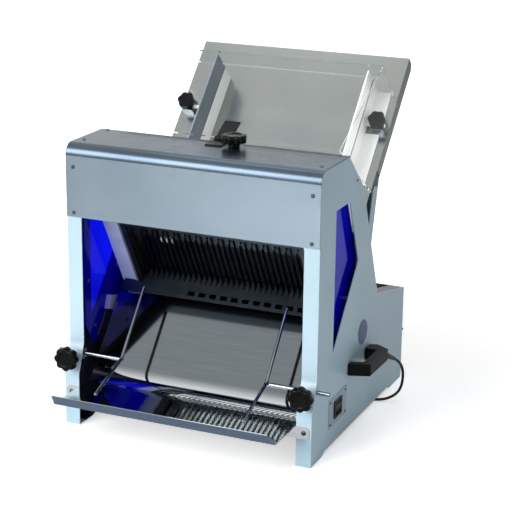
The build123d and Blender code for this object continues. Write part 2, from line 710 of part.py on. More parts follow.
coil_stops = [coil_point(i / per_turn) for i in range(int(coil_turns * per_turn) + 1)]
coil_ways = [coil_heading(i / per_turn) for i in range(int(coil_turns * per_turn) + 1)]
coil_ways[0] = heading
leave = Vector(coil_ways[-1].X, coil_ways[-1].Y).normalized()
tail_start = coil_stops[-1]
for reach, height, fall in ((45, -7.0, -0.40), (85, -23.0, -0.25), (112, -26.5, 0.0)):
    coil_stops.append(tail_start + leave * reach + Vector(0, 0, height))
    coil_ways.append(Vector(leave.X, leave.Y, fall).normalized())
coil_line = []
for i in range(len(coil_stops) - 1):
    coil_line += two_arcs(coil_stops[i], coil_ways[i], coil_stops[i + 1], coil_ways[i + 1])
coil_line = Wire(coil_line)
samples = [coil_line @ (i / 600.0) for i in range(601)]
gap = 1000.0
for i in range(601):
    for j in range(i + 30, 601):
        gap = min(gap, (samples[i] - samples[j]).length - cord_size)
print("coil gap", round(gap, 2), "middle", round(coil_mid.X), round(coil_mid.Y), "length", round(coil_line.length))
coil = sweep(Plane(origin=coil_line @ 0, z_dir=coil_line % 0) * Circle(cord_r), path=coil_line)
save(coil, "cord_coil")
coil_high = last.Z + lift * coil_turns + cord_r
tie_box = block(coil_mid.X + coil_r - 5, coil_mid.X + coil_r + 5, coil_mid.Y - 4, coil_mid.Y + 4, 0.0, coil_high + 2.0)
tie_hole = block(coil_mid.X + coil_r - 3.4, coil_mid.X + coil_r + 3.4, coil_mid.Y - 5, coil_mid.Y + 5, -1, coil_high + 0.3)
save(tie_box - tie_hole, "cord_tie")
tail_end = coil_stops[-1]
plug_plane = Plane(origin=tail_end, x_dir=(-leave.Y, leave.X, 0), z_dir=leave)
mains = loft([plug_plane * RectangleRounded(10, 10, 4), plug_plane.offset(14) * RectangleRounded(22, 20, 5)])
mains += extrude(plug_plane.offset(14) * RectangleRounded(26, 22, 6), 26)
for shift in (-9.5, 9.5):
    mains += extrude(plug_plane.offset(39) * Pos(shift, 0) * Circle(2.4), 19)
save(mains - coil, "mains_plug")
print("lowest plug point", round(tail_end.Z - 11, 2))
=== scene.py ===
import bpy
import bmesh
import json
import math
from mathutils import Matrix, Vector


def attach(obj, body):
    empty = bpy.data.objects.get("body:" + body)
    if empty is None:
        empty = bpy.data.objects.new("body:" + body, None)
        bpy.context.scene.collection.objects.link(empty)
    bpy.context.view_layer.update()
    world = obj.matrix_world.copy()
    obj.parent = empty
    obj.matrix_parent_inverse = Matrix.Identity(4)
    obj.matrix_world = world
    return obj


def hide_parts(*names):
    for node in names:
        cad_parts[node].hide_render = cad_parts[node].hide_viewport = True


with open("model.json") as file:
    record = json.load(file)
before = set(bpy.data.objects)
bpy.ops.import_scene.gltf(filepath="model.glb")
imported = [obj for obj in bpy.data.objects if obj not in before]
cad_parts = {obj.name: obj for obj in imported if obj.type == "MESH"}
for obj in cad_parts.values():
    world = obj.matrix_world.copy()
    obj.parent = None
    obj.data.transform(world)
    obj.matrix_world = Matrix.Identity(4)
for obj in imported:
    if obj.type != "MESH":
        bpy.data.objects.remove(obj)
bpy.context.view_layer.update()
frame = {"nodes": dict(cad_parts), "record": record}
cadNodes = frame["nodes"]
print("frame loaded:", len(cadNodes), "nodes")

mm = 0.001
originShift = 250.43  # positions in mm start at the front columns, this far before the frame origin
weldGap = 1e-6  # points of one mesh this close, in metres, are one point


def spot(x, y, z):
    return Vector((x, y - originShift, z)) * mm


chuteTop = (595, 687)  # Y and Z of the chute's upper end
chuteDown = Vector((0, -0.6871, -0.7266))
chuteUp = Vector((0, -0.7266, 0.6871))
bladeMiddle = (225, 238)  # Y and Z on the blades' middle line
bladeDown = Vector((0, 0.5, -0.8660))
bladeUp = Vector((0, 0.8660, 0.5))


def chuteSpot(x, down, off):  # down along the chute, off its floor
    return spot(x, *chuteTop) + (chuteDown * down + chuteUp * off) * mm


def bladeSpot(x, down, off):  # down along the blades, off their middle line
    return spot(x, *bladeMiddle) + (bladeDown * down + bladeUp * off) * mm


def linear(hexColour):  # sRGB hex to the linear colour that a shader wants
    parts = [int(hexColour[i:i + 2], 16) / 255 for i in (1, 3, 5)]
    return [p / 12.92 if p <= 0.04045 else ((p + 0.055) / 1.055) ** 2.4 for p in parts] + [1.0]


def addNode(tree, kind, settings=None, inputs=None):  # an input is a value, a socket or a node
    node = tree.nodes.new(kind)
    for name, value in (settings or {}).items():
        setattr(node, name, value)
    for key, value in (inputs or {}).items():
        if isinstance(value, bpy.types.Node):
            value = next(output for output in value.outputs if output.enabled)  # its first output in use
        if isinstance(value, bpy.types.NodeSocket):
            tree.links.new(value, node.inputs[key])
        else:
            node.inputs[key].default_value = value
    return node


def patternScale(sizeMm):  # how often a pattern of this size repeats in a metre
    return 1 / (sizeMm * mm)


mixColours = {"data_type": "RGBA"}
mixShare, mixFirst, mixSecond = 0, 6, 7  # a colour Mix node's factor, its colour at 0 and its colour at 1
numberFirst, numberSecond = 2, 3  # the same for a Mix node of plain numbers


def twoTone(tree, pattern, darkHex, lightHex):  # one tone runs into the other by a pattern
    share = addNode(tree, "ShaderNodeMapRange", None, {"Value": pattern, "From Min": 0.3, "From Max": 0.7})
    return addNode(tree, "ShaderNodeMix", mixColours,
                   {mixShare: share, mixFirst: linear(darkHex), mixSecond: linear(lightHex)})


def clouds(tree, place, sizeMm, detail, darkHex, lightHex):  # slow unevenness, as real coats and sheets have
    cloud = addNode(tree, "ShaderNodeTexNoise", None,
                    {"Vector": place, "Scale": patternScale(sizeMm), "Detail": detail})
    return twoTone(tree, cloud, darkHex, lightHex)


# each way of finishing returns the inputs of its shader
def powderCoat(tree, place, look):  # baked powder: even colour, faint orange peel, soft highlights
    peel = addNode(tree, "ShaderNodeTexNoise", None,
                   {"Vector": place, "Scale": patternScale(look["peelMm"]), "Detail": 1})
    pebbled = addNode(tree, "ShaderNodeBump", None,
                      {"Height": peel, "Distance": look["peelDeep"] * mm, "Strength": 0.25})
    return {"Base Color": clouds(tree, place, look["cloudMm"], 3, look["dark"], look["light"]),
            "Normal": pebbled, "Roughness": look["roughness"], "IOR": look["ior"],
            "Coat Weight": look["coat"], "Coat Roughness": 0.2}


def panelPaint(tree, place, look):  # pale coat outside; painted shade, dark navy, on the inner faces behind the column
    coat = powderCoat(tree, place, look)
    where = addNode(tree, "ShaderNodeSeparateXYZ", None, {"Vector": place})
    width = addNode(tree, "ShaderNodeMath", {"operation": "ABSOLUTE"}, {0: where.outputs["X"]})
    inner = addNode(tree, "ShaderNodeMath", {"operation": "LESS_THAN"}, {0: width, 1: look["skin"] * mm})
    behind = addNode(tree, "ShaderNodeMath", {"operation": "GREATER_THAN"},
                     {0: where.outputs["Y"], 1: (look["column"] - originShift) * mm})
    inside = addNode(tree, "ShaderNodeMath", {"operation": "MULTIPLY"}, {0: inner, 1: behind})
    # painted shade: the inner faces are drawn near black navy for the shade inside the machine
    innerShade = clouds(tree, place, look["innerShadeMm"], 3, look["innerShadeDark"], look["innerShadeLight"])
    coat["Base Color"] = addNode(tree, "ShaderNodeMix", mixColours,
                                 {mixShare: inside, mixFirst: coat["Base Color"], mixSecond: innerShade})
    return coat


def fenceCoat(tree, place, look):  # enamelled loaf fence: upper strip lapped on, a dark line where it ends, partly the joint and partly painted shade of the strip's step
    coat = powderCoat(tree, place, look)
    rise = addNode(tree, "ShaderNodeVectorMath", {"operation": "DOT_PRODUCT"}, {0: place, 1: tuple(chuteUp)})
    stripEdge = chuteSpot(0, 0, look["stripFrom"]).dot(chuteUp)
    halfJoint = look["jointMm"] * mm / 2
    onStrip = addNode(tree, "ShaderNodeMath", {"operation": "GREATER_THAN"}, {0: rise, 1: stripEdge})
    inJoint = addNode(tree, "ShaderNodeMath", {"operation": "COMPARE"},
                      {0: rise, 1: stripEdge - halfJoint, 2: halfJoint})
    strip = clouds(tree, place, look["stripMm"], 2, look["stripDark"], look["stripLight"])
    # the joint line's colour holds painted shade of the strip's step as well as the joint
    shadedJoint = clouds(tree, place, look["jointShadeMm"], 2, look["jointShadeDark"], look["jointShadeLight"])
    lapped = addNode(tree, "ShaderNodeMix", mixColours,
                     {mixShare: onStrip, mixFirst: coat["Base Color"], mixSecond: strip})
    coat["Base Color"] = addNode(tree, "ShaderNodeMix", mixColours,
                                 {mixShare: inJoint, mixFirst: lapped, mixSecond: shadedJoint})
    if look["bareStrip"]:  # the strip is steel without enamel
        coat["Metallic"] = onStrip
    return coat


def rolledSteel(tree, place, look):  # rolled sheet: fine lines along one way, bright but not a mirror
    drawn = addNode(tree, "ShaderNodeMapping", None, {"Vector": place, "Scale": look["stretch"]})
    lines = addNode(tree, "ShaderNodeTexNoise", None,
                    {"Vector": drawn, "Scale": patternScale(look["lineMm"]), "Detail": 3})
    cloud = addNode(tree, "ShaderNodeTexNoise", None,
                    {"Vector": place, "Scale": patternScale(look["cloudMm"]), "Detail": 2})
    both = addNode(tree, "ShaderNodeMix", None,
                   {mixShare: look["lineShare"], numberFirst: cloud, numberSecond: lines})
    colour = twoTone(tree, both, look["dark"], look["light"])
    if "seamFrom" in look:  # painted shade: the shadow gap of the joint under the cover is drawn as a dark band
        height = addNode(tree, "ShaderNodeSeparateXYZ", None, {"Vector": place}).outputs["Z"]
        shadedJoint = addNode(tree, "ShaderNodeMath", {"operation": "GREATER_THAN"},
                        {0: height, 1: look["seamFrom"] * mm})
        seamShade = twoTone(tree, lines, look["seamShadeDark"], look["seamShadeLight"])
        colour = addNode(tree, "ShaderNodeMix", mixColours,
                         {mixShare: shadedJoint, mixFirst: colour, mixSecond: seamShade})
    roughness = addNode(tree, "ShaderNodeMapRange", None,
                        {"Value": lines, "To Min": look["smooth"], "To Max": look["rough"]})
    scored = addNode(tree, "ShaderNodeBump", None,
                     {"Height": lines, "Distance": look["lineDeep"] * mm, "Strength": 0.3})
    return {"Base Color": colour, "Metallic": 1.0, "Roughness": roughness, "Normal": scored}


def trayPolish(tree, place, look):  # satin on the sloped back, its colour darkened as a painted reflection of dim surroundings; buffed to a mirror round the bend and the lip
    height = addNode(tree, "ShaderNodeSeparateXYZ", None, {"Vector": place}).outputs["Z"]
    slopeSatinAndShade = addNode(tree, "ShaderNodeMapRange", {"interpolation_type": "SMOOTHSTEP"},
                    {"Value": height, "From Min": look["mirrorTo"] * mm, "From Max": look["satinFrom"] * mm})
    drawn = addNode(tree, "ShaderNodeMapping", None, {"Vector": place, "Scale": look["stretch"]})
    lines = addNode(tree, "ShaderNodeTexNoise", None,
                    {"Vector": drawn, "Scale": patternScale(look["lineMm"]), "Detail": 3})
    outward = Vector((0, *look["lipWay"]))
    reach = addNode(tree, "ShaderNodeVectorMath", {"operation": "DOT_PRODUCT"}, {0: place, 1: tuple(outward)})
    lip = addNode(tree, "ShaderNodeMath", {"operation": "GREATER_THAN"},
                  {0: reach, 1: spot(0, *look["lipMiddle"]).dot(outward)})  # the lip's unpolished outside
    inside = addNode(tree, "ShaderNodeMix", mixColours,
                     {mixShare: slopeSatinAndShade,
                      mixFirst: twoTone(tree, lines, look["mirrorDark"], look["mirrorLight"]),
                      mixSecond: twoTone(tree, lines, look["dark"], look["light"])})
    colour = addNode(tree, "ShaderNodeMix", mixColours,
                     {mixShare: lip, mixFirst: inside,
                      mixSecond: twoTone(tree, lines, look["lipDark"], look["lipLight"])})
    polish = addNode(tree, "ShaderNodeMapRange", None,
                     {"Value": slopeSatinAndShade, "To Min": look["smooth"], "To Max": look["rough"]})
    roughness = addNode(tree, "ShaderNodeMath", {"operation": "MULTIPLY_ADD"},
                        {0: lip, 1: look["lipRough"], 2: polish})
    scored = addNode(tree, "ShaderNodeBump", None,
                     {"Height": lines, "Distance": look["lineDeep"] * mm, "Strength": 0.2})
    return {"Base Color": colour, "Metallic": 1.0, "Roughness": roughness, "Normal": scored}


def moulded(tree, place, look):  # moulded plastic or rubber: even colour, fine spark texture from the mould
    spark = addNode(tree, "ShaderNodeTexNoise", None,
                    {"Vector": place, "Scale": patternScale(look["sparkMm"]), "Detail": 2})
    roughness = addNode(tree, "ShaderNodeMapRange", None,
                        {"Value": spark, "To Min": look["smooth"], "To Max": look["rough"]})
    grained = addNode(tree, "ShaderNodeBump", None,
                      {"Height": spark, "Distance": look["sparkDeep"] * mm, "Strength": 0.3})
    return {"Base Color": clouds(tree, place, look["cloudMm"], 2, look["dark"], look["light"]),
            "Normal": grained, "Roughness": roughness, "IOR": look["ior"],
            "Specular IOR Level": look["gloss"], "Coat Weight": look["coat"], "Coat Roughness": 0.05}


def interlockTones(tree, place, look):  # lilac switch box above, its dark bracket below a sloped edge
    box = moulded(tree, place, look)
    where = addNode(tree, "ShaderNodeSeparateXYZ", None, {"Vector": place})
    fall = addNode(tree, "ShaderNodeMath", {"operation": "MULTIPLY_ADD"},
                   {0: where.outputs["Y"], 1: look["edgeFall"], 2: where.outputs["Z"]})
    edge = spot(0, *look["edge"])
    onBracket = addNode(tree, "ShaderNodeMath", {"operation": "LESS_THAN"},
                        {0: fall, 1: edge.z + edge.y * look["edgeFall"]})
    bracket = clouds(tree, place, look["bracketMm"], 2, look["bracketDark"], look["bracketLight"])
    box["Base Color"] = addNode(tree, "ShaderNodeMix", mixColours,
                                {mixShare: onBracket, mixFirst: box["Base Color"], mixSecond: bracket})
    return box


def clearSheet(tree, place, look):  # cast acrylic: glass clear, faint wave from casting
    wave = addNode(tree, "ShaderNodeTexNoise", None,
                   {"Vector": place, "Scale": patternScale(look["waveMm"]), "Detail": 1})
    waved = addNode(tree, "ShaderNodeBump", None,
                    {"Height": wave, "Distance": look["waveDeep"] * mm, "Strength": 0.2})
    return {"Base Color": clouds(tree, place, look["cloudMm"], 2, look["dark"], look["light"]),
            "Normal": waved, "Roughness": look["roughness"], "IOR": look["ior"],
            "Transmission Weight": look["clear"], "Specular IOR Level": look["gloss"]}


def makeFinish(finishWay, name, look):
    finish = bpy.data.materials.new(name)
    finish.use_nodes = True
    tree = finish.node_tree
    tree.nodes.clear()
    place = addNode(tree, "ShaderNodeTexCoord").outputs["Object"]
    shader = addNode(tree, "ShaderNodeBsdfPrincipled", None, finishWay(tree, place, look))
    addNode(tree, "ShaderNodeOutputMaterial", None, {"Surface": shader})
    return finish


# Real brushing is 0.1 to 0.2 mm apart, orange peel under 1 mm and mould spark about 0.1 mm.
# All three are drawn several times coarser, because finer ones vanish at the photograph's distance.
# Paint and plastic start at an IOR of 1.5. Lower ones are matched to blacks and sheets without a grey veil.
paleCoat = {"dark": "#B3D1E2", "light": "#C0DBEA", "roughness": 0.36, "coat": 0.1, "ior": 1.5, "cloudMm": 140,
            "peelMm": 2.4, "peelDeep": 0.03}
fenceEnamel = {"roughness": 0.32, "coat": 0.2, "ior": 1.5, "cloudMm": 120, "peelMm": 2.2, "peelDeep": 0.02,
               "stripFrom": 47, "stripMm": 60, "jointMm": 4.5,
               "jointShadeDark": "#1A1D22", "jointShadeLight": "#2B3036", "jointShadeMm": 8}
finishLooks = {
    # sheet steel, powder coated: pale blue, even, with broad soft highlights
    "body_paint": (powderCoat, "PowderCoatPaleBlueSteel", paleCoat),
    # the same coat outside; near black navy painted shade inside, so the room round the blades looks deep
    "panel_paint": (panelPaint, "PowderCoatPanelWithPaintedShade",
                    {**paleCoat, "skin": 263.4, "column": 24.0,
                     "innerShadeDark": "#161C2A", "innerShadeLight": "#222A3B", "innerShadeMm": 60}),
    # brushed stainless: blue grey, faint level lines, highlights drawn out, painted shade as a dark band in
    # the joint at the top
    "hood_steel": (rolledSteel, "BrushedStainlessHood",
                   {"dark": "#75838E", "light": "#7F8C96", "stretch": (0.010, 1, 1), "lineMm": 0.9,
                    "lineShare": 0.25, "lineDeep": 0.002, "smooth": 0.27, "rough": 0.33, "cloudMm": 160,
                    "seamFrom": 549.0, "seamShadeDark": "#2E363D", "seamShadeLight": "#3E474F"}),
    # brushed stainless, painted reflection: darker than the front to stand for the dim room it mirrors; slate
    # grey, bright where it bends over the edge
    "top_shade_steel": (rolledSteel, "BrushedStainlessTopPaintedShade",
                  {"dark": "#4E5B67", "light": "#586571", "stretch": (0.010, 1, 1), "lineMm": 0.9,
                   "lineShare": 0.2, "lineDeep": 0.0008, "smooth": 0.25, "rough": 0.29, "cloudMm": 160}),
    # cold rolled steel with an oil film: dark grey with a dim satin shine
    "comb_steel": (rolledSteel, "OiledCombSteel",
                   {"dark": "#363D44", "light": "#4A535B", "stretch": (0.05, 1, 1), "lineMm": 1.5,
                    "lineShare": 0.5, "lineDeep": 0.01, "smooth": 0.26, "rough": 0.40, "cloudMm": 50}),
    # hot rolled steel, painted shade for the dim place it lies in: nearly black, dull
    "infeed_shade_steel": (rolledSteel, "InfeedSteelPaintedShade",
                     {"dark": "#15191D", "light": "#22272C", "stretch": (0.05, 1, 1), "lineMm": 1.5,
                      "lineShare": 0.5, "lineDeep": 0.01, "smooth": 0.34, "rough": 0.46, "cloudMm": 60}),
    # satin stainless: warm light grey, nearly even, slow shading from top to bottom
    "chute_steel": (rolledSteel, "SatinStainlessChute",
                    {"dark": "#929797", "light": "#9DA09C", "stretch": (0.02, 1, 1), "lineMm": 1.0,
                     "lineShare": 0.3, "lineDeep": 0.0015, "smooth": 0.22, "rough": 0.27, "cloudMm": 180}),
    # polished stainless: a mirror in the bend; satin on the slope, painted darker grey as a reflection of its
    # dim surroundings; flat blue grey outside the lip
    "mirror_steel": (trayPolish, "PolishedStainlessTray",
                     {"dark": "#70777A", "light": "#787F82", "mirrorDark": "#CDD1D4",
                      "mirrorLight": "#D8DBDD", "mirrorTo": 92, "satinFrom": 112,
                      "stretch": (0.05, 1, 1), "lineMm": 4.0,
                      "lineDeep": 0.00005, "smooth": 0.02, "rough": 0.07, "lipWay": (-0.885, -0.465),
                      "lipMiddle": (-97.75, 82), "lipDark": "#67788D", "lipLight": "#72849A",
                      "lipRough": 0.22}),
    # white enamel below, bare steel strip above: white face, dark line of joint and painted shade, grey face
    "left_fence": (fenceCoat, "EnamelledFenceWithSteelStrip",
                   {**fenceEnamel, "dark": "#F6F7F4", "light": "#FDFDFB",
                    "stripDark": "#8A97A4", "stripLight": "#96A2AE", "bareStrip": True}),
    # white enamel on both, with the dark line of the lap between them, partly painted shade of its step
    "right_fence": (fenceCoat, "EnamelledFenceWithEnamelledStrip",
                    {**fenceEnamel, "dark": "#F0F1EE", "light": "#FAFAF8",
                     "stripDark": "#F6F7F4", "stripLight": "#FDFDFB", "bareStrip": False}),
    # thick matt coat on steel: navy, almost no highlight
    "dark_steel": (powderCoat, "NavyCoatedSteel",
                   {"dark": "#141926", "light": "#1E2536", "roughness": 0.75, "coat": 0.0, "ior": 1.1,
                    "cloudMm": 90, "peelMm": 2.2, "peelDeep": 0.04}),
    # hardened strip, ground along its length: dark with broken bright streaks
    "blade_steel": (rolledSteel, "GroundBladeSteel",
                    {"dark": "#1E2226", "light": "#3A4046", "stretch": (1, 1, 0.05), "lineMm": 1.4,
                     "lineShare": 0.7, "lineDeep": 0.01, "smooth": 0.28, "rough": 0.45, "cloudMm": 40}),
    # milled bar steel: dark grey with tool lines
    "frame_steel": (rolledSteel, "MachinedFrameSteel",
                    {"dark": "#2F353A", "light": "#474E54", "stretch": (0.03, 1, 1), "lineMm": 1.5,
                     "lineShare": 0.6, "lineDeep": 0.01, "smooth": 0.30, "rough": 0.48, "cloudMm": 60}),
    # glossy enamel: pale blue rails that catch a clear highlight
    "rail_enamel": (powderCoat, "PaleBlueRailEnamel",
                    {"dark": "#B4C1EA", "light": "#C8D3F6", "roughness": 0.2, "coat": 0.6, "ior": 1.5,
                     "cloudMm": 30, "peelMm": 2.2, "peelDeep": 0.02}),
    # etched stainless: light, upright grain, silky
    "switch_steel": (rolledSteel, "EtchedSwitchPlate",
                     {"dark": "#A2B2BE", "light": "#B2C0CB", "stretch": (1, 1, 0.03), "lineMm": 0.9,
                      "lineShare": 0.6, "lineDeep": 0.006, "smooth": 0.28, "rough": 0.38, "cloudMm": 40}),
    # screw steel darkened as painted shade of the recesses round the heads: small dark domes with one
    # highlight each
    "screw_shade_steel": (rolledSteel, "ScrewSteelPaintedShade",
                    {"dark": "#3E454C", "light": "#59616A", "stretch": (1, 1, 1), "lineMm": 2.0,
                     "lineShare": 0.3, "lineDeep": 0.004, "smooth": 0.24, "rough": 0.34, "cloudMm": 10}),
    # bright nickel over drawn wire: smooth, with one long highlight
    "plated_steel": (rolledSteel, "NickelPlatedWire",
                     {"dark": "#6F767D", "light": "#8C9399", "stretch": (1, 1, 1), "lineMm": 3.0,
                      "lineShare": 0.3, "lineDeep": 0.004, "smooth": 0.10, "rough": 0.18, "cloudMm": 30}),
    # cast acrylic, dyed through: saturated blue, half see-through, softly reflecting
    "blue_acrylic": (clearSheet, "BlueCastAcrylic",
                     {"dark": "#0A10E4", "light": "#1018FA", "roughness": 0.06, "clear": 0.7, "gloss": 0.12,
                      "ior": 1.3, "cloudMm": 120, "waveMm": 60, "waveDeep": 0.05}),
    # cast acrylic, water clear: only its edges and bends show
    "clear_acrylic": (clearSheet, "ClearCastAcrylic",
                      {"dark": "#F8FBFC", "light": "#FDFEFF", "roughness": 0.01, "clear": 1.0, "gloss": 0.5,
                       "ior": 1.05, "cloudMm": 200, "waveMm": 60, "waveDeep": 0.02}),
    # phenolic pressed in a polished mould: deep black with small sharp highlights
    "black_plastic": (moulded, "GlossBlackPhenolic",
                      {"dark": "#040506", "light": "#08090B", "coat": 0.0, "ior": 1.28, "gloss": 0.3,
                       "smooth": 0.12, "rough": 0.20, "sparkMm": 1.5, "sparkDeep": 0.006, "cloudMm": 20}),
    # vinyl moulded over the plug: black with a soft satin highlight
    "plug_black": (moulded, "SatinBlackPlugVinyl",
                   {"dark": "#030304", "light": "#060708", "coat": 0.0, "ior": 1.28, "gloss": 0.3,
                    "smooth": 0.30, "rough": 0.42, "sparkMm": 1.0, "sparkDeep": 0.02, "cloudMm": 25}),
    # nylon from a spark eroded mould: black, matt, finely pebbled
    "matte_black": (moulded, "TexturedBlackNylon",
                    {"dark": "#0B0C0E", "light": "#131418", "coat": 0.0, "ior": 1.5, "gloss": 0.3,
                     "smooth": 0.42, "rough": 0.6, "sparkMm": 0.9, "sparkDeep": 0.04, "cloudMm": 15}),
    # extruded vinyl jacket: soft black with a dull line of light along it
    "cord_rubber": (moulded, "BlackCordJacket",
                    {"dark": "#08090B", "light": "#101114", "coat": 0.0, "ior": 1.5, "gloss": 0.35,
                     "smooth": 0.38, "rough": 0.55, "sparkMm": 1.2, "sparkDeep": 0.03, "cloudMm": 25}),
    # moulded nylon box, lilac and silky, on a navy bracket
    "lilac_plastic": (interlockTones, "LilacMouldedNylon",
                      {"dark": "#9C98E0", "light": "#B2AEF0", "coat": 0.1, "ior": 1.5, "gloss": 0.5,
                       "smooth": 0.36, "rough": 0.5, "sparkMm": 1.0, "sparkDeep": 0.02, "cloudMm": 18,
                       "edge": (136, 203), "edgeFall": 0.3333, "bracketMm": 25,
                       "bracketDark": "#1B2036", "bracketLight": "#272D48"}),
    # moulded nylon: slate blue, matt, a shade darker than the coat round it
    "cap_plastic": (moulded, "SlateBlueNylonCap",
                    {"dark": "#5A698E", "light": "#66769C", "coat": 0.0, "ior": 1.5, "gloss": 0.3,
                     "smooth": 0.36, "rough": 0.5, "sparkMm": 1.0, "sparkDeep": 0.02, "cloudMm": 20}),
    # painted grey iron casting: mid grey over a coarse, uneven skin
    "cast_gray": (powderCoat, "PaintedCastIron",
                  {"dark": "#44484C", "light": "#5A5F64", "roughness": 0.5, "coat": 0.0, "ior": 1.5,
                   "cloudMm": 18, "peelMm": 1.6, "peelDeep": 0.12}),
}
finishes = {slotName: makeFinish(*recipe) for slotName, recipe in finishLooks.items()}

slotOf = {part["node"]: part["material_slot"] for part in frame["record"]["subparts"]}
finerFinish = {"top_cover": "top_shade_steel", "comb_plate": "comb_steel", "infeed_plate": "infeed_shade_steel",
               "right_side_panel": "panel_paint", "left_side_panel": "panel_paint",
               "switch_plate": "switch_steel", "power_plug": "plug_black", "mains_plug": "plug_black",
               "rear_box_cover": "dark_steel", "slide_rails": "rail_enamel",
               "left_loaf_guide": "left_fence", "right_loaf_guide": "right_fence"}  # same slot, own finish
for nodeName, cadPiece in cadNodes.items():
    cadPiece.data.materials.clear()
    cadPiece.data.materials.append(finishes[finerFinish.get(nodeName, slotOf[nodeName])])
cadNodes["clear_guard"].visible_shadow = False  # a clear sheet hardly shades what is under it
print("finishes on", len(cadNodes), "nodes")

softEdges = {"power_plug": 2.8, "mains_plug": 1.6, "cord_tie": 0.8, "interlock_box": 1.4, "power_inlet": 0.6,
             "switch_bezel": 0.5, "access_cap": 0.6, "base_plate": 0.6}  # edge width in mm, moulded or rolled
softening = {"flatWithin": 1, "edgeFrom": 40, "steps": 3}  # degrees, degrees, faces across an edge


def soften(node, width, look):
    node.modifiers.new("closeSeams", "WELD").merge_threshold = weldGap
    flats = node.modifiers.new("joinFlats", "DECIMATE")
    flats.decimate_type = "DISSOLVE"
    flats.angle_limit = math.radians(look["flatWithin"])
    edge = node.modifiers.new("softEdge", "BEVEL")
    edge.width = width * mm
    edge.segments = look["steps"]
    edge.limit_method = "ANGLE"
    edge.angle_limit = math.radians(look["edgeFrom"])
    edge.harden_normals = True


for nodeName, width in softEdges.items():
    soften(cadNodes[nodeName], width, softening)
print("edges softened on", len(softEdges), "nodes")


def settle(mesh, name, slotName, body, node):  # a finished mesh becomes a named piece on its body
    mesh.materials.clear()
    mesh.materials.append(finishes[slotName])
    piece = bpy.data.objects.new(name, mesh)
    bpy.context.scene.collection.objects.link(piece)
    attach(piece, body)
    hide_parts(node)


def smoothed(mesh, angle):
    mesh.shade_smooth()
    mesh.set_sharp_from_angle(angle=math.radians(angle))
    return mesh


# grips: moulded star knobs with a dished face, each on its hub and stud
frontGrip = {"way": (0, -1, 0), "size": 50, "lobes": 8, "from": 12, "to": 28, "hub": 10, "hubFrom": -4,
             "stud": 3.5, "studFrom": -20.7}
chuteGrip = {"size": 37.4, "lobes": 6, "from": 24, "to": 38, "hub": 9, "hubFrom": 16.3, "stud": 3.0,
             "studFrom": 12.3}
gripLooks = {
    "rightFrontGrip": {"node": "right_front_knob", "body": "right_front_grip", "at": (250, 0, 145),
                      **frontGrip},
    "leftFrontGrip": {"node": "left_front_knob", "body": "left_front_grip", "at": (-250, 0, 145),
                      **frontGrip},
    "rightChuteGrip": {"node": "right_chute_knob", "body": "right_chute_grip", "chute": (216, 174),
                      **chuteGrip},
    "leftChuteGrip": {"node": "left_chute_knob", "body": "left_chute_grip", "chute": (-216, 174),
                      **chuteGrip},
    "guardLockGrip": {"node": "guard_lock_knob", "body": "lock_grip", "at": (40, 136, 572), "way": (0, 0, 1),
                      "size": 50, "lobes": 8, "from": 9, "to": 25, "hub": 11, "hubFrom": 0.3, "stud": 3.0,
                      "studFrom": -12},
}
gripShape = {"stepsPerLobe": 14, "lobeDeep": 0.135, "lobePinch": 1.4, "rimFrom": 0.9, "hubSunk": 0.02,
             "hubChamfer": 0.8, "studChamfer": 0.5, "sharpFrom": 34,
             # shares of the radius and the height, and how much of the lobing shows there
             "profile": [(0.40, 0.0, 0.3), (0.78, 0.0, 0.8), (0.92, 0.03, 1), (0.985, 0.12, 1),
                         (1.0, 0.28, 1), (1.0, 0.66, 1), (0.985, 0.84, 1), (0.93, 0.95, 1),
                         (0.84, 0.995, 0.9), (0.72, 1.0, 0.5), (0.60, 0.985, 0.12), (0.54, 0.93, 0),
                         (0.50, 0.87, 0), (0.30, 0.85, 0), (0.0, 0.85, 0)]}


def gripMesh(name, look, shape):
    build = bmesh.new()
    around = look["lobes"] * shape["stepsPerLobe"]
    half, low, thick = look["size"] / 2, look["from"], look["to"] - look["from"]
    hub, hubFrom, stud, studFrom = (look[key] for key in ("hub", "hubFrom", "stud", "studFrom"))
    # radius, height and depth between the lobes, from the stud's end up to the middle of the face
    outline = [(0.0, studFrom, 0), (stud - shape["studChamfer"], studFrom, 0),
               (stud, studFrom + shape["studChamfer"], 0), (stud, hubFrom, 0),
               (hub - shape["hubChamfer"], hubFrom, 0), (hub, hubFrom + shape["hubChamfer"], 0),
               (hub, low + shape["hubSunk"], 0)]
    for share, rise, lobing in shape["profile"]:
        scoop = half * shape["lobeDeep"] * lobing * (share if share < shape["rimFrom"] else 1)
        outline.append((half * share, low + thick * rise, scoop))
    rings = []
    for radius, height, scoop in outline:
        ring = []
        for i in range(around if radius > 0 else 1):
            angle = 2 * math.pi * i / around
            reach = radius - scoop * ((1 - math.cos(look["lobes"] * angle)) / 2) ** shape["lobePinch"]
            ring.append(build.verts.new((reach * math.cos(angle), reach * math.sin(angle), height)))
        rings.append(ring)
    for inner, outer in zip(rings, rings[1:]):
        for i in range(around):
            j = (i + 1) % around
            if len(inner) == 1:
                build.faces.new((inner[0], outer[j], outer[i]))
            elif len(outer) == 1:
                build.faces.new((inner[i], inner[j], outer[0]))
            else:
                build.faces.new((inner[i], inner[j], outer[j], outer[i]))
    if "chute" in look:
        along, base = chuteUp, chuteSpot(*look["chute"], 0)
    else:
        along, base = Vector(look["way"]), spot(*look["at"])
    turn = along.to_track_quat("Z", "Y").to_matrix().to_4x4()
    stand = Matrix.Translation(base) @ turn @ Matrix.Scale(mm, 4)
    bmesh.ops.transform(build, matrix=stand, verts=build.verts)
    bmesh.ops.remove_doubles(build, verts=build.verts, dist=weldGap)
    bmesh.ops.recalc_face_normals(build, faces=build.faces)
    mesh = bpy.data.meshes.new(name)
    build.to_mesh(mesh)
    build.free()
    return smoothed(mesh, shape["sharpFrom"])


